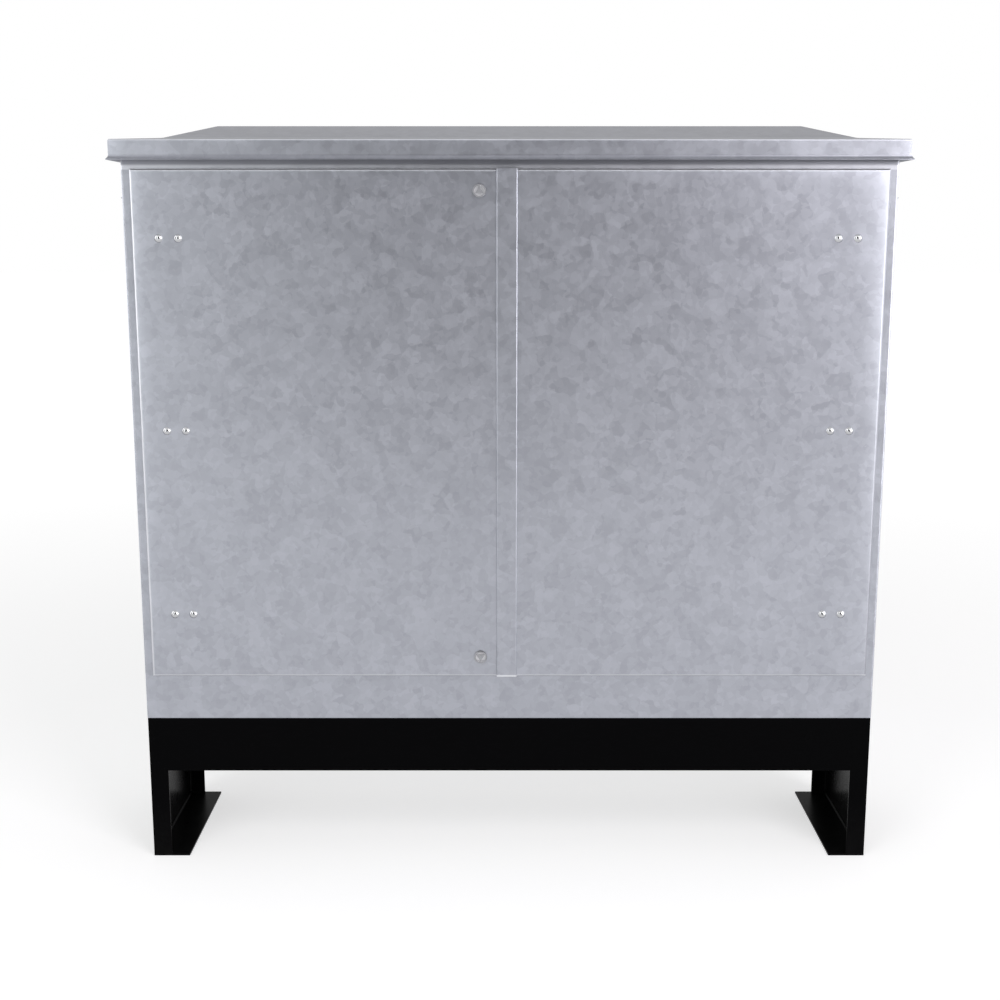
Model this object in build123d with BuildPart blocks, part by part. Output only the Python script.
"""Two-door galvanised feeder pillar on an open black root.

Millimetres, +Z up. The origin is the centre of the footprint at ground level.
The doors face -Y, and left and right are as seen by someone facing them.
"""
import os
from math import sqrt

from build123d import *

os.makedirs("parts", exist_ok=True)

# Cabinet body
BODY_WIDTH = 1200.0
BODY_DEPTH = 272.0
BODY_SHEET = 2.0
BODY_BEND = 3.5
PANEL_VISIBLE = 899.0
WALL_ABOVE_EAVE = 28.0
WALL_FLANGE = 22.0

# Front frame round the door opening
FRAME_SIDE = 40.0
FRAME_LIP = 8.0
LOWER_PANEL = 76.0
DOOR_BELOW_EAVE = 13.0
DOOR_LAP = 15.0

# Root, the open base that is set in the ground
ROOT_HEIGHT = 244.0
ROOT_SHEET = 3.0
ROOT_SET_IN = 1.0
ROOT_RAIL = 92.5
ROOT_LEG = 30.0
ROOT_FOOT = 60.0
ROOT_FLANGE = 40.0
ROOT_RAIL_LIP = 18.0

# Roof
ROOF_OVERHANG = 14.0
ROOF_FASCIA = 31.0
ROOF_RISE = 30.0
ROOF_MARGIN = 68.0
ROOF_MARGIN_RISE = 6.0
RIDGE_HALF = 474.0
ROOF_BEND = 3.0
ROOF_MARGIN_BEND = 26.0
DRIP_OUT = 3.5
DRIP_EDGE = 1.4
DRIP_BEND = 7.0
ROOF_SEAL_WIDTH = 12.0
ROOF_SEAL_GAP = 0.3

# Roof cleats and their side bolts
CLEAT_WIDTH = 20.0
CLEAT_SHEET = 3.0
CLEAT_DROP = 64.0
CLEAT_LEG = 25.0
CLEAT_FROM_FRONT = 14.0
SIDE_BOLT_BELOW_EAVE = 53.0
SIDE_BOLT_RADIUS = 4.0
SIDE_HEAD_RADIUS = 7.0
SIDE_HEAD_HEIGHT = 5.0
SIDE_NUT_FLATS = 13.0
SIDE_NUT_HEIGHT = 6.5

# Doors
DOOR_INSET = 16.0
DOOR_PROUD = 13.0
DOOR_SHEET = 2.0
DOOR_BEND = 4.0
DOOR_BACK_GAP = 2.5
DOOR_MEETING_GAP = 3.0
STRIP_LEFT = 21.0
STRIP_RIGHT = 12.0
STRIP_SHEET = 2.5
STRIP_RELIEF = 0.5
STRIP_CHAMFER = 1.4
STIFFENER_WIDTH = 60.0
STIFFENER_FLANGE = 13.0
STIFFENER_DEPTH = 14.0
STIFFENER_SHEET = 1.5
STIFFENER_END_GAP = 10.0
DOOR_SEAL_WIDTH = 8.0
DOOR_SEAL_INSET = 12.0
DOOR_SEAL_END = 4.5
DOOR_SEAL_GAP = 0.5

# Hinges, three to a door
HINGE_PITCH = 300.0
HINGE_HEIGHT = 60.0
HINGE_NOTCH_GAP = 2.0
PIVOT_FROM_EDGE = 4.5
PIVOT_FROM_FRAME = 6.5
PIN_RADIUS = 2.5
PIN_HEAD_RADIUS = 3.4
PIN_HEAD_HEIGHT = 1.5
PIN_CLEARANCE = 0.05
KNUCKLE_RADIUS = 3.8
KNUCKLE_MIDDLE = 29.0
KNUCKLE_GAP = 0.5
DOOR_LEAF_SHEET = 2.4
DOOR_LEAF_PAST_BOLT = 10.0
DOOR_LEAF_SHOULDER = 5.5
FRAME_LEAF_SHEET = 2.2
FRAME_LEAF_WIDTH = 16.0
FRAME_LEAF_OUT = 1.0
HINGE_WEB = 4.0
LEFT_HINGE_BOLT_FROM_EDGE = 41.0
RIGHT_HINGE_BOLT_FROM_EDGE = 46.0
HINGE_BOLT_PITCH = 30.0
HINGE_BOLT_RADIUS = 3.0
HINGE_HEAD_RADIUS = 6.5
HINGE_HEAD_HEIGHT = 3.4
HINGE_NUT_FLATS = 10.0
HINGE_NUT_HEIGHT = 5.0
BOLT_PAST_NUT = 2.0
BOLT_HOLE_CLEARANCE = 0.25

# Quarter-turn triangle locks, in the left door
LOCK_FROM_CENTRE = 47.0
LOCK_FROM_END = 33.0
LOCK_COLLAR_RADIUS = 10.5
LOCK_COLLAR_HEIGHT = 3.0
LOCK_COLLAR_CHAMFER = 0.8
LOCK_BARREL_RADIUS = 9.0
LOCK_BARREL_BEHIND = 7.0
LOCK_RECESS_RADIUS = 7.8
LOCK_RECESS_DEPTH = 5.0
LOCK_TRIANGLE = 7.2
LOCK_TRIANGLE_BELOW = 0.6
LOCK_SPINDLE_RADIUS = 4.0
LOCK_RUNNING = 0.05
LOCK_HOLE_CLEARANCE = 0.2
LOCK_NUT_FLATS = 22.0
LOCK_NUT_HEIGHT = 5.0
CAM_SHEET = 3.0
CAM_BEHIND_LIP = 0.8
CAM_LENGTH = 30.0
CAM_WIDTH = 12.0
CAM_HUB_RADIUS = 8.0
CAM_BOSS_RADIUS = 6.0
CAM_BOSS_GAP = 0.3
CAM_SQUARE = 5.6
CAM_SQUARE_CLEARANCE = 0.05
CAM_SCREW_RADIUS = 2.5
CAM_SCREW_HEAD_RADIUS = 4.6
CAM_SCREW_HEAD = 2.6
CAM_SCREW_DEPTH = 9.0

# Floor, gland plate and the bolts that hold the body on the root
FLOOR_SHEET = 2.0
GLAND_OPENING_HALF_X = 480.0
GLAND_TO_ROOT_FLANGE = 2.0
GLAND_LAP = 18.0
GLAND_SHEET = 3.0
GLAND_SCREW_PITCH = 200.0
GLAND_SCREWS_PER_SIDE = 5
GLAND_SCREW_RADIUS = 2.5
GLAND_SCREW_HEAD_RADIUS = 5.0
GLAND_SCREW_HEAD = 2.8
GLAND_SCREW_LENGTH = 10.0
ROOT_BOLT_RADIUS = 5.0
ROOT_BOLT_FLATS = 17.0
ROOT_BOLT_HEAD = 6.4
ROOT_NUT_HEIGHT = 8.0
ROOT_BOLT_PITCH = 330.0
ROOT_BOLTS_PER_SIDE = 4
ROOT_BOLT_FROM_FACE = 21.0
ROOT_BOLT_HOLE_CLEARANCE = 0.5

# Timber backboard on two folded rails
RAIL_DEPTH = 22.0
RAIL_WEB = 30.0
RAIL_FLANGE = 14.0
RAIL_SHEET = 2.0
RAIL_HALF_LENGTH = 530.0
RAIL_PITCH = 500.0
BOARD_THICKNESS = 12.0
BOARD_SIDE_GAP = 15.0
BOARD_END_GAP = 20.0
BOARD_CORNER = 2.0
BOARD_SCREW_RADIUS = 3.0
BOARD_SCREW_HEAD_RADIUS = 6.5
BOARD_SCREW_HEAD = 3.6
BOARD_SCREW_PITCH = 480.0
BOARD_SCREWS_PER_RAIL = 3
BOARD_SCREW_PAST_RAIL = 6.0

# Planes and heights that the pieces share
FRONT = -BODY_DEPTH / 2
BACK = BODY_DEPTH / 2
SIDE = BODY_WIDTH / 2
INNER_SIDE = SIDE - BODY_SHEET
INNER_FRONT = FRONT + BODY_SHEET
INNER_BACK = BACK - BODY_SHEET
EAVE = ROOT_HEIGHT + PANEL_VISIBLE
WALL_TOP = EAVE + WALL_ABOVE_EAVE
WALL_HEIGHT = WALL_TOP - ROOT_HEIGHT
ROOF_TOP = EAVE + ROOF_FASCIA
DOOR_TOP = EAVE - DOOR_BELOW_EAVE
DOOR_BOTTOM = ROOT_HEIGHT + LOWER_PANEL
DOOR_MIDDLE = (DOOR_TOP + DOOR_BOTTOM) / 2
OPENING_TOP = DOOR_TOP - DOOR_LAP
OPENING_BOTTOM = DOOR_BOTTOM + DOOR_LAP
OPENING_SIDE = SIDE - FRAME_SIDE
DOOR_OUTER = SIDE - DOOR_INSET
DOOR_INNER = DOOR_MEETING_GAP / 2
DOOR_FACE = FRONT - DOOR_PROUD
DOOR_BACK = DOOR_FACE + DOOR_SHEET
DOOR_RETURN = FRONT - DOOR_BACK_GAP
PIVOT_X = DOOR_OUTER - PIVOT_FROM_EDGE
PIVOT_Y = FRONT - PIVOT_FROM_FRAME
HINGE_HEIGHTS = [DOOR_MIDDLE + step * HINGE_PITCH for step in (-1, 0, 1)]
HINGE_NAMES = ["lower", "middle", "upper"]
LEFT_BOLT_X = LEFT_HINGE_BOLT_FROM_EDGE - DOOR_OUTER
RIGHT_BOLT_X = DOOR_OUTER - RIGHT_HINGE_BOLT_FROM_EDGE
HINGE_BOLTS_X = {
    -1: [LEFT_BOLT_X, LEFT_BOLT_X + HINGE_BOLT_PITCH],
    1: [RIGHT_BOLT_X, RIGHT_BOLT_X - HINGE_BOLT_PITCH],
}
LOCK_HEIGHTS = {"lower": DOOR_BOTTOM + LOCK_FROM_END, "upper": DOOR_TOP - LOCK_FROM_END}
ROOT_SIDE = SIDE - ROOT_SET_IN
ROOT_FACE = BODY_DEPTH / 2 - ROOT_SET_IN
ROOT_RAIL_BOTTOM = ROOT_HEIGHT - ROOT_RAIL
GLAND_PLATE_HALF_X = GLAND_OPENING_HALF_X + GLAND_LAP
GLAND_PLATE_HALF_Y = ROOT_FACE - ROOT_FLANGE - GLAND_TO_ROOT_FLANGE
GLAND_OPENING_HALF_Y = GLAND_PLATE_HALF_Y - GLAND_LAP
BOARD_BACK = INNER_BACK - RAIL_DEPTH
BOARD_FRONT = BOARD_BACK - BOARD_THICKNESS


def save(piece, label):
    """Label a finished piece and write it as its own file."""
    piece.part.label = label
    export_step(piece.part, f"parts/{label}.step")


def dome_bolt(shank_radius, length, head_radius, head_height):
    """A domed bolt along Z: the head stands above Z = 0 and the shank hangs below."""
    dome_radius = (head_radius**2 + head_height**2) / (2 * head_height)
    with BuildPart() as bolt:
        with BuildSketch(Plane.XY):
            Circle(head_radius)
        extrude(amount=head_height)
        with Locations((0, 0, head_height - dome_radius)):
            Sphere(dome_radius, mode=Mode.INTERSECT)
        with BuildSketch(Plane.XY):
            Circle(shank_radius)
        extrude(amount=-length)
    return bolt.part


def hex_nut(flats, height, bore_radius):
    """A hexagon nut on Z: its seat is at Z = 0 and it reaches down."""
    with BuildPart() as nut:
        with BuildSketch(Plane.XY):
            RegularPolygon(flats / 2, 6, major_radius=False)
            Circle(bore_radius, mode=Mode.SUBTRACT)
        extrude(amount=-height)
    return nut.part


# Body wrap: both sides, the back and the front strips folded from one sheet
with BuildPart() as body_wrap:
    with BuildSketch(Plane.XY.offset(ROOT_HEIGHT)):
        RectangleRounded(BODY_WIDTH, BODY_DEPTH, BODY_BEND)
        RectangleRounded(2 * INNER_SIDE, 2 * INNER_BACK, BODY_BEND - BODY_SHEET, mode=Mode.SUBTRACT)
        with Locations((0, FRONT + BODY_SHEET / 2)):
            Rectangle(2 * OPENING_SIDE, 2 * BODY_SHEET, mode=Mode.SUBTRACT)
        with Locations(
            (OPENING_SIDE + BODY_SHEET / 2, FRONT + FRAME_LIP / 2),
            (-OPENING_SIDE - BODY_SHEET / 2, FRONT + FRAME_LIP / 2),
        ):
            Rectangle(BODY_SHEET, FRAME_LIP)
    extrude(amount=WALL_HEIGHT)
    # The top edges turn inwards to carry the roof seal, and leave room for the roof cleats
    cleat_end = BODY_DEPTH / 2 - CLEAT_FROM_FRONT - CLEAT_WIDTH
    with BuildSketch(Plane.XY.offset(WALL_TOP)):
        with Locations((0, INNER_BACK - WALL_FLANGE / 2)):
            Rectangle(2 * OPENING_SIDE, WALL_FLANGE)
        with Locations((INNER_SIDE - WALL_FLANGE / 2, 0), (WALL_FLANGE / 2 - INNER_SIDE, 0)):
            Rectangle(WALL_FLANGE, 2 * cleat_end)
    extrude(amount=-BODY_SHEET)
    # Clearance holes for the roof's side bolts
    side_bolt_y = BODY_DEPTH / 2 - CLEAT_FROM_FRONT
    side_bolt_z = EAVE - SIDE_BOLT_BELOW_EAVE
    with BuildSketch(Plane.YZ):
        with Locations((side_bolt_y, side_bolt_z), (-side_bolt_y, side_bolt_z)):
            Circle(SIDE_BOLT_RADIUS + BOLT_HOLE_CLEARANCE)
    extrude(amount=SIDE, both=True, mode=Mode.SUBTRACT)
save(body_wrap, "body_wrap")

# Lower front panel, with a lip along the opening's sill
with BuildPart() as lower_front_panel:
    with BuildSketch(Plane.YZ):
        with BuildLine():
            Polyline(
                (FRONT, ROOT_HEIGHT),
                (INNER_FRONT, ROOT_HEIGHT),
                (INNER_FRONT, OPENING_BOTTOM - BODY_SHEET),
                (FRONT + FRAME_LIP, OPENING_BOTTOM - BODY_SHEET),
                (FRONT + FRAME_LIP, OPENING_BOTTOM),
                (FRONT, OPENING_BOTTOM),
                close=True,
            )
        make_face()
    extrude(amount=OPENING_SIDE, both=True)
    sill = lower_front_panel.edges().filter_by(Axis.X).sort_by(lambda e: e.center().Y - e.center().Z)[0]
    fillet(sill, BODY_BEND - BODY_SHEET)
save(lower_front_panel, "lower_front_panel")

# Top front rail, a channel between the opening and the roof
with BuildPart() as top_front_rail:
    with BuildSketch(Plane.YZ):
        with BuildLine():
            Polyline(
                (FRONT, OPENING_TOP),
                (FRONT + FRAME_LIP, OPENING_TOP),
                (FRONT + FRAME_LIP, OPENING_TOP + BODY_SHEET),
                (INNER_FRONT, OPENING_TOP + BODY_SHEET),
                (INNER_FRONT, WALL_TOP - BODY_SHEET),
                (INNER_FRONT + WALL_FLANGE, WALL_TOP - BODY_SHEET),
                (INNER_FRONT + WALL_FLANGE, WALL_TOP),
                (FRONT, WALL_TOP),
                close=True,
            )
        make_face()
    extrude(amount=OPENING_SIDE, both=True)
save(top_front_rail, "top_front_rail")

# Floor, with the cable opening that the gland plate closes
gland_screw_y = GLAND_OPENING_HALF_Y + GLAND_LAP / 2
root_bolt_y = BODY_DEPTH / 2 - ROOT_BOLT_FROM_FACE
with BuildPart() as body_floor:
    with BuildSketch(Plane.XY.offset(ROOT_HEIGHT)):
        RectangleRounded(2 * INNER_SIDE, 2 * INNER_BACK, BODY_BEND - BODY_SHEET)
        with Locations(
            (OPENING_SIDE + BODY_SHEET / 2, FRONT + FRAME_LIP / 2),
            (-OPENING_SIDE - BODY_SHEET / 2, FRONT + FRAME_LIP / 2),
        ):
            Rectangle(BODY_SHEET, FRAME_LIP, mode=Mode.SUBTRACT)
        Rectangle(2 * GLAND_OPENING_HALF_X, 2 * GLAND_OPENING_HALF_Y, mode=Mode.SUBTRACT)
        with GridLocations(GLAND_SCREW_PITCH, 2 * gland_screw_y, GLAND_SCREWS_PER_SIDE, 2):
            Circle(GLAND_SCREW_RADIUS + BOLT_HOLE_CLEARANCE, mode=Mode.SUBTRACT)
        with GridLocations(ROOT_BOLT_PITCH, 2 * root_bolt_y, ROOT_BOLTS_PER_SIDE, 2):
            Circle(ROOT_BOLT_RADIUS + ROOT_BOLT_HOLE_CLEARANCE, mode=Mode.SUBTRACT)
    extrude(amount=FLOOR_SHEET)
save(body_floor, "body_floor")

floor_top = ROOT_HEIGHT + FLOOR_SHEET
with BuildPart() as gland_plate:
    with BuildSketch(Plane.XY.offset(floor_top)):
        Rectangle(2 * GLAND_PLATE_HALF_X, 2 * GLAND_PLATE_HALF_Y)
        with GridLocations(GLAND_SCREW_PITCH, 2 * gland_screw_y, GLAND_SCREWS_PER_SIDE, 2):
            Circle(GLAND_SCREW_RADIUS + BOLT_HOLE_CLEARANCE, mode=Mode.SUBTRACT)
    extrude(amount=GLAND_SHEET)
save(gland_plate, "gland_plate")

gland_screw = dome_bolt(GLAND_SCREW_RADIUS, GLAND_SCREW_LENGTH, GLAND_SCREW_HEAD_RADIUS, GLAND_SCREW_HEAD)
with BuildPart() as gland_screws:
    with Locations((0, 0, floor_top + GLAND_SHEET)):
        with GridLocations(GLAND_SCREW_PITCH, 2 * gland_screw_y, GLAND_SCREWS_PER_SIDE, 2):
            add(gland_screw)
save(gland_screws, "gland_plate_screws")

# Root: front and rear portals, side plates and feet, welded into one frame
with BuildPart() as root_front_portal:
    with BuildSketch(Plane.XZ.offset(ROOT_FACE)):
        with Locations((0, (ROOT_HEIGHT + ROOT_SHEET) / 2)):
            Rectangle(2 * ROOT_SIDE, ROOT_HEIGHT - ROOT_SHEET)
        with Locations((0, ROOT_RAIL_BOTTOM / 2)):
            Rectangle(2 * (ROOT_SIDE - ROOT_LEG), ROOT_RAIL_BOTTOM, mode=Mode.SUBTRACT)
    extrude(amount=-ROOT_SHEET)
    # The top edge turns back under the body, and the rail's lower edge has a stiffening lip
    inner_face = ROOT_SHEET - ROOT_FACE
    with BuildSketch(Plane.XY.offset(ROOT_HEIGHT)):
        with Locations((0, inner_face + (ROOT_FLANGE - ROOT_SHEET) / 2)):
            Rectangle(2 * (ROOT_SIDE - ROOT_SHEET), ROOT_FLANGE - ROOT_SHEET)
        with GridLocations(ROOT_BOLT_PITCH, 2 * root_bolt_y, ROOT_BOLTS_PER_SIDE, 2):
            Circle(ROOT_BOLT_RADIUS + ROOT_BOLT_HOLE_CLEARANCE, mode=Mode.SUBTRACT)
    extrude(amount=-ROOT_SHEET)
    with BuildSketch(Plane.XY.offset(ROOT_RAIL_BOTTOM)):
        with Locations((0, inner_face + (ROOT_RAIL_LIP - ROOT_SHEET) / 2)):
            Rectangle(2 * (ROOT_SIDE - ROOT_LEG), ROOT_RAIL_LIP - ROOT_SHEET)
    extrude(amount=ROOT_SHEET)
save(root_front_portal, "root_front_portal")

with BuildPart() as root_rear_portal:
    add(mirror(root_front_portal.part, about=Plane.XZ, mode=Mode.PRIVATE))
save(root_rear_portal, "root_rear_portal")

for side_name, side in (("left", -1), ("right", 1)):
    with BuildPart() as root_side:
        with BuildSketch(Plane.XY.offset(ROOT_SHEET)):
            with Locations((side * (ROOT_SIDE - ROOT_SHEET / 2), 0)):
                Rectangle(ROOT_SHEET, 2 * (ROOT_FACE - ROOT_SHEET))
        extrude(amount=ROOT_HEIGHT - ROOT_SHEET)
        with BuildSketch(Plane.XY.offset(ROOT_HEIGHT)):
            with Locations((side * (ROOT_SIDE - ROOT_FLANGE / 2), 0)):
                Rectangle(ROOT_FLANGE, 2 * (ROOT_FACE - ROOT_FLANGE))
        extrude(amount=-ROOT_SHEET)
    save(root_side, f"root_{side_name}_side")

    with BuildPart() as root_foot:
        with BuildSketch(Plane.XY):
            with Locations((side * (ROOT_SIDE - ROOT_FOOT / 2), 0)):
                Rectangle(ROOT_FOOT, 2 * ROOT_FACE)
        extrude(amount=ROOT_SHEET)
    save(root_foot, f"root_{side_name}_foot")

# Hexagon bolts down through the floor and the root's top flange, with nuts below
root_grip = FLOOR_SHEET + ROOT_SHEET
with BuildPart() as root_bolts:
    with BuildSketch(Plane.XY.offset(floor_top)):
        with GridLocations(ROOT_BOLT_PITCH, 2 * root_bolt_y, ROOT_BOLTS_PER_SIDE, 2):
            RegularPolygon(ROOT_BOLT_FLATS / 2, 6, major_radius=False)
    extrude(amount=ROOT_BOLT_HEAD)
    with BuildSketch(Plane.XY.offset(floor_top)):
        with GridLocations(ROOT_BOLT_PITCH, 2 * root_bolt_y, ROOT_BOLTS_PER_SIDE, 2):
            Circle(ROOT_BOLT_RADIUS)
    extrude(amount=-(root_grip + ROOT_NUT_HEIGHT + BOLT_PAST_NUT))
save(root_bolts, "root_bolts")

root_nut = hex_nut(ROOT_BOLT_FLATS, ROOT_NUT_HEIGHT, ROOT_BOLT_RADIUS)
with BuildPart() as root_nuts:
    with Locations((0, 0, ROOT_HEIGHT - ROOT_SHEET)):
        with GridLocations(ROOT_BOLT_PITCH, 2 * root_bolt_y, ROOT_BOLTS_PER_SIDE, 2):
            add(root_nut)
save(root_nuts, "root_nuts")


def roof_section(half_depth, run, drop, lip, foot):
    """Outline of the roof across one span: drip edge, fascia, shallow margin and steep slope.

    half_depth is from the middle to the fascia and run is from the fascia to the ridge.
    drop lowers and narrows it by a sheet's thickness to give the inside. The drip edge
    flares at 45 degrees down to the height lip, and the outline goes straight on to foot.
    """
    fascia = half_depth - drop
    flare = half_depth + DRIP_OUT + EAVE + DRIP_EDGE - drop * sqrt(2)
    margin_top = ROOF_TOP + ROOF_MARGIN_RISE - drop
    ridge_top = ROOF_TOP + ROOF_RISE - drop
    ridge_half = half_depth - run
    half = [
        (flare - lip, foot),
        (flare - lip, lip),
        (fascia, flare - fascia),
        (fascia, ROOF_TOP - drop),
        (half_depth - ROOF_MARGIN, margin_top),
        (ridge_half, ridge_top),
    ]
    bends = [0, 0, DRIP_BEND + drop, ROOF_BEND - drop, ROOF_MARGIN_BEND, 0]
    other = [(-y, z) for y, z in reversed(half)]
    other_bends = list(reversed(bends))
    if ridge_half == 0:
        other = other[1:]
        other_bends = other_bends[1:]
    return half + other, bends + other_bends


def roof_block(drop, lip, foot):
    """The roof's solid outline: the section along the width crossed with the one along the depth."""
    half_width = SIDE + ROOF_OVERHANG
    half_depth = BODY_DEPTH / 2 + ROOF_OVERHANG
    across, across_bends = roof_section(half_depth, half_depth, drop, lip, foot)
    along, along_bends = roof_section(half_width, half_width - RIDGE_HALF, drop, lip, foot)
    with BuildPart() as block:
        with BuildSketch(Plane.YZ):
            with BuildLine():
                FilletPolyline(*across, radius=across_bends, close=True)
            make_face()
        extrude(amount=half_width + 2 * DRIP_OUT, both=True)
        with BuildSketch(Plane.XZ):
            with BuildLine():
                FilletPolyline(*along, radius=along_bends, close=True)
            make_face()
        extrude(amount=half_depth + 2 * DRIP_OUT, both=True, mode=Mode.INTERSECT)
    return block.part


# Hipped roof, pressed from one sheet with a deep fascia and a turned-out drip edge
roof_inside = roof_block(BODY_SHEET, EAVE, EAVE - CLEAT_DROP - CLEAT_SHEET)
with BuildPart() as roof:
    add(roof_block(0, EAVE + DRIP_EDGE, EAVE))
    add(roof_inside, mode=Mode.SUBTRACT)
save(roof, "roof")

# Foam strips on the body's top flanges, under the roof
seal_ceiling = Pos(0, 0, -ROOF_SEAL_GAP) * roof_inside
seal_side = cleat_end - CLEAT_SHEET
with BuildPart() as roof_seal:
    with BuildSketch(Plane.XY.offset(WALL_TOP)):
        with Locations(
            (0, INNER_FRONT + ROOF_SEAL_WIDTH / 2),
            (0, INNER_BACK - ROOF_SEAL_WIDTH / 2),
        ):
            Rectangle(2 * (OPENING_SIDE - CLEAT_SHEET), ROOF_SEAL_WIDTH)
        with Locations(
            (INNER_SIDE - ROOF_SEAL_WIDTH / 2, 0),
            (ROOF_SEAL_WIDTH / 2 - INNER_SIDE, 0),
        ):
            Rectangle(ROOF_SEAL_WIDTH, 2 * seal_side)
    extrude(amount=ROOF_FASCIA)
    add(seal_ceiling, mode=Mode.INTERSECT)
save(roof_seal, "roof_seal")

# Cleats welded under the roof, which hang inside the side walls and take the side bolts
with BuildPart() as roof_cleats:
    for y in (side_bolt_y, -side_bolt_y):
        for side in (-1, 1):
            with BuildSketch(Plane.XZ.offset(-y)):
                with Locations((side * (INNER_SIDE - CLEAT_SHEET / 2), EAVE)):
                    Rectangle(CLEAT_SHEET, 2 * CLEAT_DROP)
            extrude(amount=CLEAT_WIDTH / 2, both=True)
            with BuildSketch(Plane.XZ.offset(-y)):
                with Locations((side * (INNER_SIDE - CLEAT_LEG / 2), ROOF_TOP)):
                    Rectangle(CLEAT_LEG, 2 * (ROOF_TOP - WALL_TOP + CLEAT_SHEET))
            extrude(amount=CLEAT_WIDTH / 2, both=True)
    add(roof_inside, mode=Mode.INTERSECT)
    with BuildSketch(Plane.YZ):
        with Locations((side_bolt_y, side_bolt_z), (-side_bolt_y, side_bolt_z)):
            Circle(SIDE_BOLT_RADIUS + BOLT_HOLE_CLEARANCE)
    extrude(amount=SIDE, both=True, mode=Mode.SUBTRACT)
save(roof_cleats, "roof_cleats")

side_grip = BODY_SHEET + CLEAT_SHEET
side_bolt = dome_bolt(
    SIDE_BOLT_RADIUS, side_grip + SIDE_NUT_HEIGHT + BOLT_PAST_NUT, SIDE_HEAD_RADIUS, SIDE_HEAD_HEIGHT
)
side_nut = hex_nut(SIDE_NUT_FLATS, SIDE_NUT_HEIGHT, SIDE_BOLT_RADIUS)
with BuildPart() as side_bolts:
    for side in (-1, 1):
        with Locations(
            Location((side * SIDE, side_bolt_y, side_bolt_z), (0, side * 90, 0)),
            Location((side * SIDE, -side_bolt_y, side_bolt_z), (0, side * 90, 0)),
        ):
            add(side_bolt)
save(side_bolts, "roof_side_bolts")

nut_seat = INNER_SIDE - CLEAT_SHEET
with BuildPart() as side_nuts:
    for side in (-1, 1):
        with Locations(
            Location((side * nut_seat, side_bolt_y, side_bolt_z), (0, side * 90, 0)),
            Location((side * nut_seat, -side_bolt_y, side_bolt_z), (0, side * 90, 0)),
        ):
            add(side_nut)
save(side_nuts, "roof_side_nuts")

# Timber backboard, screwed to two hat rails that are welded to the back
for rail_name, rail_z in (("lower", DOOR_MIDDLE - RAIL_PITCH / 2), ("upper", DOOR_MIDDLE + RAIL_PITCH / 2)):
    with BuildPart() as board_rail:
        with BuildSketch(Plane.YZ):
            with Locations((INNER_BACK - RAIL_DEPTH / 2, rail_z)):
                Rectangle(RAIL_DEPTH, RAIL_WEB)
            with Locations((INNER_BACK - RAIL_DEPTH / 2 + RAIL_SHEET / 2, rail_z)):
                Rectangle(RAIL_DEPTH - RAIL_SHEET, RAIL_WEB - 2 * RAIL_SHEET, mode=Mode.SUBTRACT)
            with Locations(
                (INNER_BACK - RAIL_SHEET / 2, rail_z + (RAIL_WEB + RAIL_FLANGE) / 2),
                (INNER_BACK - RAIL_SHEET / 2, rail_z - (RAIL_WEB + RAIL_FLANGE) / 2),
            ):
                Rectangle(RAIL_SHEET, RAIL_FLANGE)
        extrude(amount=RAIL_HALF_LENGTH, both=True)
        with BuildSketch(Plane.XZ.offset(-BOARD_BACK)):
            with Locations((0, rail_z)):
                with GridLocations(BOARD_SCREW_PITCH, 1, BOARD_SCREWS_PER_RAIL, 1):
                    Circle(BOARD_SCREW_RADIUS)
        extrude(amount=-RAIL_SHEET, mode=Mode.SUBTRACT)
    save(board_rail, f"backboard_{rail_name}_rail")

with BuildPart() as backboard:
    with BuildSketch(Plane.XZ.offset(-BOARD_FRONT)):
        with Locations((0, DOOR_MIDDLE)):
            RectangleRounded(
                2 * (OPENING_SIDE - BOARD_SIDE_GAP),
                OPENING_TOP - OPENING_BOTTOM - 2 * BOARD_END_GAP,
                BOARD_CORNER,
            )
            with GridLocations(BOARD_SCREW_PITCH, RAIL_PITCH, BOARD_SCREWS_PER_RAIL, 2):
                Circle(BOARD_SCREW_RADIUS, mode=Mode.SUBTRACT)
    extrude(amount=-BOARD_THICKNESS)
save(backboard, "backboard")

board_screw = dome_bolt(
    BOARD_SCREW_RADIUS,
    BOARD_THICKNESS + RAIL_SHEET + BOARD_SCREW_PAST_RAIL,
    BOARD_SCREW_HEAD_RADIUS,
    BOARD_SCREW_HEAD,
)
first_screw_x = -(BOARD_SCREWS_PER_RAIL - 1) * BOARD_SCREW_PITCH / 2
with BuildPart() as board_screws:
    for z in (DOOR_MIDDLE - RAIL_PITCH / 2, DOOR_MIDDLE + RAIL_PITCH / 2):
        for column in range(BOARD_SCREWS_PER_RAIL):
            x = first_screw_x + column * BOARD_SCREW_PITCH
            with Locations(Location((x, BOARD_FRONT, z), (90, 0, 0))):
                add(board_screw)
save(board_screws, "backboard_screws")


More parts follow.
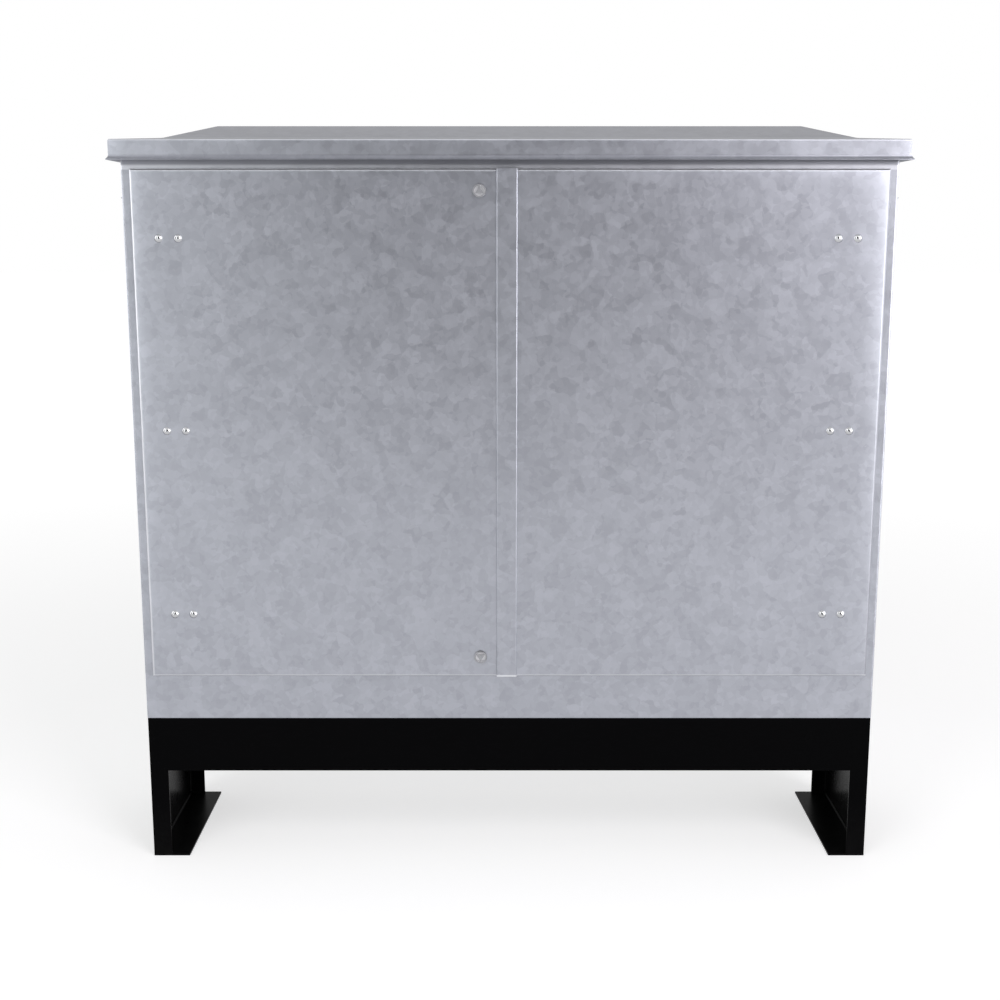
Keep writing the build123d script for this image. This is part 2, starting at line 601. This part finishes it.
# Doors: folded pans, with notches for the hinges in the outer return
def door_pan(side):
    """One door skin with its four returns; side is -1 for the left door and 1 for the right."""
    width = DOOR_OUTER - DOOR_INNER
    with BuildPart() as pan:
        with BuildSketch(Plane.XZ.offset(-DOOR_FACE)):
            with Locations((side * (DOOR_OUTER + DOOR_INNER) / 2, DOOR_MIDDLE)):
                Rectangle(width, DOOR_TOP - DOOR_BOTTOM)
        extrude(amount=-(DOOR_RETURN - DOOR_FACE))
        fillet(pan.faces().sort_by(Axis.Y)[0].edges(), DOOR_BEND)
        offset(amount=-DOOR_SHEET, openings=pan.faces().sort_by(Axis.Y)[-1])
        notch_depth = DOOR_RETURN - DOOR_BACK
        with BuildSketch(Plane.YZ.offset(side * DOOR_OUTER)):
            for z in HINGE_HEIGHTS:
                with Locations((DOOR_BACK + notch_depth, z)):
                    Rectangle(2 * notch_depth, HINGE_HEIGHT + 2 * HINGE_NOTCH_GAP)
        extrude(amount=-side * DOOR_BEND, mode=Mode.SUBTRACT)
        with BuildSketch(Plane.XZ.offset(-DOOR_FACE)):
            for z in HINGE_HEIGHTS:
                for x in HINGE_BOLTS_X[side]:
                    with Locations((x, z)):
                        Circle(HINGE_BOLT_RADIUS + BOLT_HOLE_CLEARANCE)
        extrude(amount=-DOOR_SHEET, mode=Mode.SUBTRACT)
    return pan.part


with BuildPart() as left_door:
    add(door_pan(-1))
    with BuildSketch(Plane.XZ.offset(-DOOR_FACE)):
        for z in LOCK_HEIGHTS.values():
            with Locations((-LOCK_FROM_CENTRE, z)):
                Circle(LOCK_BARREL_RADIUS + LOCK_HOLE_CLEARANCE)
    extrude(amount=-DOOR_SHEET, mode=Mode.SUBTRACT)
save(left_door, "left_door_pan")

with BuildPart() as right_door:
    add(door_pan(1))
save(right_door, "right_door_pan")

# Cover strip, welded to the left door and relieved where it laps the right one
with BuildPart() as cover_strip:
    with BuildSketch(Plane.XY.offset(DOOR_BOTTOM)) as strip_section:
        with BuildLine():
            Polyline(
                (-STRIP_LEFT, DOOR_FACE),
                (0, DOOR_FACE),
                (0, DOOR_FACE - STRIP_RELIEF),
                (STRIP_RIGHT, DOOR_FACE - STRIP_RELIEF),
                (STRIP_RIGHT, DOOR_FACE - STRIP_SHEET),
                (-STRIP_LEFT, DOOR_FACE - STRIP_SHEET),
                close=True,
            )
        make_face()
        chamfer(strip_section.vertices().group_by(Axis.Y)[0], STRIP_CHAMFER)
    extrude(amount=DOOR_TOP - DOOR_BOTTOM)
save(cover_strip, "cover_strip")

for side_name, side in (("left", -1), ("right", 1)):
    # Hat-section stiffener down the middle of the door
    stiffener_x = side * (DOOR_OUTER + DOOR_INNER) / 2
    web = STIFFENER_WIDTH - 2 * STIFFENER_FLANGE
    with BuildPart() as stiffener:
        with BuildSketch(Plane.XY.offset(OPENING_BOTTOM + STIFFENER_END_GAP)):
            with Locations((stiffener_x, DOOR_BACK + STIFFENER_DEPTH / 2)):
                Rectangle(web, STIFFENER_DEPTH)
            with Locations((stiffener_x, DOOR_BACK + (STIFFENER_DEPTH - STIFFENER_SHEET) / 2)):
                Rectangle(web - 2 * STIFFENER_SHEET, STIFFENER_DEPTH - STIFFENER_SHEET, mode=Mode.SUBTRACT)
            for flange_side in (-1, 1):
                flange_x = stiffener_x + flange_side * (web + STIFFENER_FLANGE) / 2
                with Locations((flange_x, DOOR_BACK + STIFFENER_SHEET / 2)):
                    Rectangle(STIFFENER_FLANGE, STIFFENER_SHEET)
        extrude(amount=OPENING_TOP - OPENING_BOTTOM - 2 * STIFFENER_END_GAP)
    save(stiffener, f"{side_name}_door_stiffener")

    # Foam seal on the door, which meets the frame all round and breaks at each hinge
    seal_depth = FRONT - DOOR_SEAL_GAP - DOOR_BACK
    seal_outer = DOOR_OUTER - DOOR_SEAL_INSET
    seal_length = seal_outer - DOOR_INNER - DOOR_SEAL_END
    seal_height = DOOR_TOP - DOOR_BOTTOM - 2 * DOOR_SEAL_END
    seal_x = seal_outer - seal_length / 2
    with BuildPart() as door_seal:
        with BuildSketch(Plane.XZ.offset(-DOOR_BACK)):
            with Locations((side * seal_x, DOOR_MIDDLE)):
                Rectangle(seal_length, seal_height)
            with Locations((side * (seal_x - DOOR_SEAL_WIDTH), DOOR_MIDDLE)):
                Rectangle(seal_length, seal_height - 2 * DOOR_SEAL_WIDTH, mode=Mode.SUBTRACT)
            for z in HINGE_HEIGHTS:
                with Locations((side * seal_outer, z)):
                    Rectangle(4 * DOOR_SEAL_WIDTH, HINGE_HEIGHT + 2 * HINGE_NOTCH_GAP, mode=Mode.SUBTRACT)
        extrude(amount=-seal_depth)
    save(door_seal, f"{side_name}_door_seal")

    # Hinges: a bolted door leaf, a welded frame leaf and the pin that joins their knuckles
    bore = PIN_RADIUS + PIN_CLEARANCE
    leaf_end = abs(HINGE_BOLTS_X[side][-1]) - DOOR_LEAF_PAST_BOLT
    leaf_shoulder = PIVOT_X - DOOR_LEAF_SHOULDER
    for hinge_name, hinge_z in zip(HINGE_NAMES, HINGE_HEIGHTS):
        with BuildPart() as door_leaf:
            with BuildSketch(Plane.XZ.offset(-DOOR_BACK)):
                with Locations((side * (leaf_end + leaf_shoulder) / 2, hinge_z)):
                    Rectangle(leaf_shoulder - leaf_end, HINGE_HEIGHT)
                with Locations((side * (leaf_end + PIVOT_X) / 2, hinge_z)):
                    Rectangle(PIVOT_X - leaf_end, KNUCKLE_MIDDLE)
                for x in HINGE_BOLTS_X[side]:
                    with Locations((x, hinge_z)):
                        Circle(HINGE_BOLT_RADIUS + BOLT_HOLE_CLEARANCE, mode=Mode.SUBTRACT)
            extrude(amount=-DOOR_LEAF_SHEET)
            with BuildSketch(Plane.XY.offset(hinge_z)):
                with Locations((side * PIVOT_X, PIVOT_Y)):
                    Circle(KNUCKLE_RADIUS)
            extrude(amount=KNUCKLE_MIDDLE / 2, both=True)
            with BuildSketch(Plane.XY.offset(hinge_z)):
                with Locations((side * PIVOT_X, PIVOT_Y)):
                    Circle(bore)
            extrude(amount=HINGE_HEIGHT, both=True, mode=Mode.SUBTRACT)
        save(door_leaf, f"{side_name}_{hinge_name}_hinge_door_leaf")

        frame_leaf_outer = PIVOT_X + FRAME_LEAF_OUT
        knuckle_length = (HINGE_HEIGHT - KNUCKLE_MIDDLE) / 2 - KNUCKLE_GAP
        with BuildPart() as frame_leaf:
            with BuildSketch(Plane.XZ.offset(-FRONT)):
                with Locations((side * (frame_leaf_outer - FRAME_LEAF_WIDTH / 2), hinge_z)):
                    Rectangle(FRAME_LEAF_WIDTH, HINGE_HEIGHT)
            extrude(amount=FRAME_LEAF_SHEET)
            for end in (-1, 1):
                knuckle_start = hinge_z + end * (KNUCKLE_MIDDLE / 2 + KNUCKLE_GAP)
                with BuildSketch(Plane.XY.offset(knuckle_start)):
                    with Locations((side * PIVOT_X, PIVOT_Y)):
                        Circle(KNUCKLE_RADIUS)
                    with Locations((side * (frame_leaf_outer - HINGE_WEB / 2), (PIVOT_Y + FRONT) / 2)):
                        Rectangle(HINGE_WEB, PIVOT_FROM_FRAME)
                extrude(amount=end * knuckle_length)
            with BuildSketch(Plane.XY.offset(hinge_z)):
                with Locations((side * PIVOT_X, PIVOT_Y)):
                    Circle(bore)
            extrude(amount=HINGE_HEIGHT, both=True, mode=Mode.SUBTRACT)
        save(frame_leaf, f"{side_name}_{hinge_name}_hinge_frame_leaf")

    with BuildPart() as hinge_pins:
        for hinge_z in HINGE_HEIGHTS:
            with BuildSketch(Plane.XY.offset(hinge_z + HINGE_HEIGHT / 2)):
                with Locations((side * PIVOT_X, PIVOT_Y)):
                    Circle(PIN_RADIUS)
            extrude(amount=-HINGE_HEIGHT)
            with BuildSketch(Plane.XY.offset(hinge_z + HINGE_HEIGHT / 2)):
                with Locations((side * PIVOT_X, PIVOT_Y)):
                    Circle(PIN_HEAD_RADIUS)
            extrude(amount=PIN_HEAD_HEIGHT)
    save(hinge_pins, f"{side_name}_hinge_pins")

    # Dome bolts through the skin and the door leaf, with nuts behind
    hinge_grip = DOOR_SHEET + DOOR_LEAF_SHEET
    hinge_bolt = dome_bolt(
        HINGE_BOLT_RADIUS, hinge_grip + HINGE_NUT_HEIGHT + BOLT_PAST_NUT, HINGE_HEAD_RADIUS, HINGE_HEAD_HEIGHT
    )
    hinge_nut = hex_nut(HINGE_NUT_FLATS, HINGE_NUT_HEIGHT, HINGE_BOLT_RADIUS)
    with BuildPart() as hinge_bolts:
        for z in HINGE_HEIGHTS:
            for x in HINGE_BOLTS_X[side]:
                with Locations(Location((x, DOOR_FACE, z), (90, 0, 0))):
                    add(hinge_bolt)
    save(hinge_bolts, f"{side_name}_hinge_bolts")

    with BuildPart() as hinge_nuts:
        for z in HINGE_HEIGHTS:
            for x in HINGE_BOLTS_X[side]:
                with Locations(Location((x, DOOR_BACK + DOOR_LEAF_SHEET, z), (90, 0, 0))):
                    add(hinge_nut)
    save(hinge_nuts, f"{side_name}_hinge_nuts")

# Quarter-turn locks. At rest each cam lies level, clear of the frame, and the doors can open
collar_face = DOOR_FACE - LOCK_COLLAR_HEIGHT
recess_floor = collar_face + LOCK_RECESS_DEPTH
barrel_end = FRONT + LOCK_BARREL_BEHIND
cam_face = FRONT + FRAME_LIP + CAM_BEHIND_LIP
cam_back = cam_face + CAM_SHEET
for lock_name, lock_z in LOCK_HEIGHTS.items():
    with BuildPart() as housing:
        with BuildSketch(Plane.XZ.offset(-DOOR_FACE)):
            with Locations((-LOCK_FROM_CENTRE, lock_z)):
                Circle(LOCK_COLLAR_RADIUS)
        extrude(amount=LOCK_COLLAR_HEIGHT)
        chamfer(housing.faces().sort_by(Axis.Y)[0].edges(), LOCK_COLLAR_CHAMFER)
        with BuildSketch(Plane.XZ.offset(-DOOR_FACE)):
            with Locations((-LOCK_FROM_CENTRE, lock_z)):
                Circle(LOCK_BARREL_RADIUS)
        extrude(amount=-(barrel_end - DOOR_FACE))
        with BuildSketch(Plane.XZ.offset(-collar_face)):
            with Locations((-LOCK_FROM_CENTRE, lock_z)):
                Circle(LOCK_RECESS_RADIUS)
        extrude(amount=-LOCK_RECESS_DEPTH, mode=Mode.SUBTRACT)
        with BuildSketch(Plane.XZ.offset(-collar_face)):
            with Locations((-LOCK_FROM_CENTRE, lock_z)):
                Circle(LOCK_SPINDLE_RADIUS + LOCK_RUNNING)
        extrude(amount=-(barrel_end - collar_face), mode=Mode.SUBTRACT)
    save(housing, f"{lock_name}_lock_housing")

    with BuildPart() as lock_nut:
        with BuildSketch(Plane.XZ.offset(-DOOR_BACK)):
            with Locations((-LOCK_FROM_CENTRE, lock_z)):
                RegularPolygon(LOCK_NUT_FLATS / 2, 6, major_radius=False)
                Circle(LOCK_BARREL_RADIUS, mode=Mode.SUBTRACT)
        extrude(amount=-LOCK_NUT_HEIGHT)
    save(lock_nut, f"{lock_name}_lock_nut")

    # The triangle points up in the upper lock and down in the lower one
    triangle_turn = 90 if lock_name == "upper" else -90
    triangle_face = collar_face + LOCK_TRIANGLE_BELOW
    triangle_foot = recess_floor - LOCK_RUNNING
    with BuildPart() as spindle:
        with BuildSketch(Plane.XZ.offset(-triangle_face)):
            with Locations((-LOCK_FROM_CENTRE, lock_z)):
                RegularPolygon(LOCK_TRIANGLE, 3, rotation=triangle_turn)
        extrude(amount=-(triangle_foot - triangle_face))
        with BuildSketch(Plane.XZ.offset(-triangle_foot)):
            with Locations((-LOCK_FROM_CENTRE, lock_z)):
                Circle(LOCK_SPINDLE_RADIUS)
        extrude(amount=-(cam_face - triangle_foot))
        with BuildSketch(Plane.XZ.offset(-cam_face)):
            with Locations((-LOCK_FROM_CENTRE, lock_z)):
                Rectangle(CAM_SQUARE, CAM_SQUARE)
        extrude(amount=-CAM_SHEET)
        with BuildSketch(Plane.XZ.offset(-cam_back)):
            with Locations((-LOCK_FROM_CENTRE, lock_z)):
                Circle(CAM_SCREW_RADIUS)
        extrude(amount=CAM_SCREW_DEPTH, mode=Mode.SUBTRACT)
    save(spindle, f"{lock_name}_lock_spindle")

    with BuildPart() as cam:
        with BuildSketch(Plane.XZ.offset(-cam_face)):
            with Locations((-LOCK_FROM_CENTRE, lock_z)):
                Circle(CAM_HUB_RADIUS)
            with Locations((-LOCK_FROM_CENTRE - (CAM_LENGTH - CAM_WIDTH / 2) / 2, lock_z)):
                Rectangle(CAM_LENGTH - CAM_WIDTH / 2, CAM_WIDTH)
            with Locations((-LOCK_FROM_CENTRE - CAM_LENGTH + CAM_WIDTH / 2, lock_z)):
                Circle(CAM_WIDTH / 2)
        extrude(amount=-CAM_SHEET)
        with BuildSketch(Plane.XZ.offset(-cam_face)):
            with Locations((-LOCK_FROM_CENTRE, lock_z)):
                Circle(CAM_BOSS_RADIUS)
        extrude(amount=cam_face - barrel_end - CAM_BOSS_GAP)
        with BuildSketch(Plane.XZ.offset(-cam_face)):
            with Locations((-LOCK_FROM_CENTRE, lock_z)):
                Circle(LOCK_SPINDLE_RADIUS + CAM_SQUARE_CLEARANCE)
        extrude(amount=cam_face - barrel_end, mode=Mode.SUBTRACT)
        with BuildSketch(Plane.XZ.offset(-cam_face)):
            with Locations((-LOCK_FROM_CENTRE, lock_z)):
                Rectangle(CAM_SQUARE + 2 * CAM_SQUARE_CLEARANCE, CAM_SQUARE + 2 * CAM_SQUARE_CLEARANCE)
        extrude(amount=-CAM_SHEET, mode=Mode.SUBTRACT)
    save(cam, f"{lock_name}_lock_cam")

    with BuildPart() as cam_screw:
        with Locations(Location((-LOCK_FROM_CENTRE, cam_back, lock_z), (-90, 0, 0))):
            add(dome_bolt(CAM_SCREW_RADIUS, CAM_SCREW_DEPTH, CAM_SCREW_HEAD_RADIUS, CAM_SCREW_HEAD))
    save(cam_screw, f"{lock_name}_lock_cam_screw")
